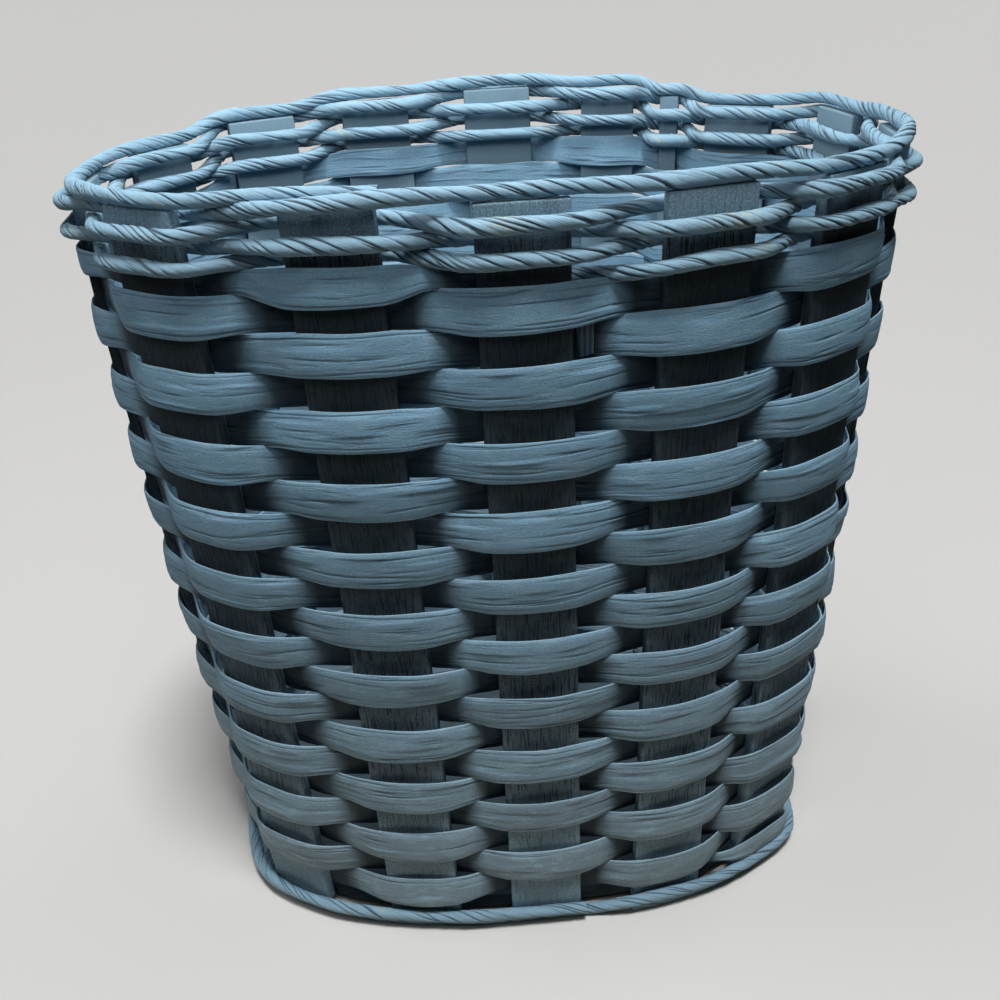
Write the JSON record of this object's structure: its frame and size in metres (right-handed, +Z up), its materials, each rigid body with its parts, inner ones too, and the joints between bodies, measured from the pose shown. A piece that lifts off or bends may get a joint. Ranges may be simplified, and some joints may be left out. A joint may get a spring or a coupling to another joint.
{
  "type": "wicker waste basket",
  "caption": "Oval woven waste basket of flat painted wooden stakes and flat ribbon wound as one over-under spiral, with paper rope rounds at the rim and the foot.",
  "frame": {"origin": "on the floor, under the middle of the basket's overall box", "axes": "+X along the long axis of the oval, +Y towards the far long side, +Z up to the open rim"},
  "size_m": [0.2672, 0.1848, 0.2673],
  "materials": {
    "painted_board": "thin flat slate-blue paint over wood grain",
    "painted_stake": "thin flat slate-blue paint over wood grain, with darker streaks",
    "painted_ribbon": "slate-blue paint over flat paper weaver with length creases and rolled edges",
    "painted_rope": "slate-blue paint over twisted paper cord, worn through in small spots"
  },
  "bodies": {
    "root": {"base_board": "painted_board", "stake_01": "painted_stake", "stake_02": "painted_stake", "stake_03": "painted_stake", "stake_04": "painted_stake", "stake_05": "painted_stake", "stake_06": "painted_stake", "stake_07": "painted_stake", "stake_08": "painted_stake", "stake_09": "painted_stake", "stake_10": "painted_stake", "stake_11": "painted_stake", "stake_12": "painted_stake", "stake_13": "painted_stake", "stake_14": "painted_stake", "stake_extra": "painted_stake", "side_ribbon_1": "painted_ribbon", "side_ribbon_2": "painted_ribbon", "side_ribbon_3": "painted_ribbon", "side_ribbon_4": "painted_ribbon", "side_ribbon_5": "painted_ribbon", "side_ribbon_6": "painted_ribbon", "side_ribbon_7": "painted_ribbon", "rim_rope": "painted_rope", "base_rope": "painted_rope"}
  },
  "joints": []
}
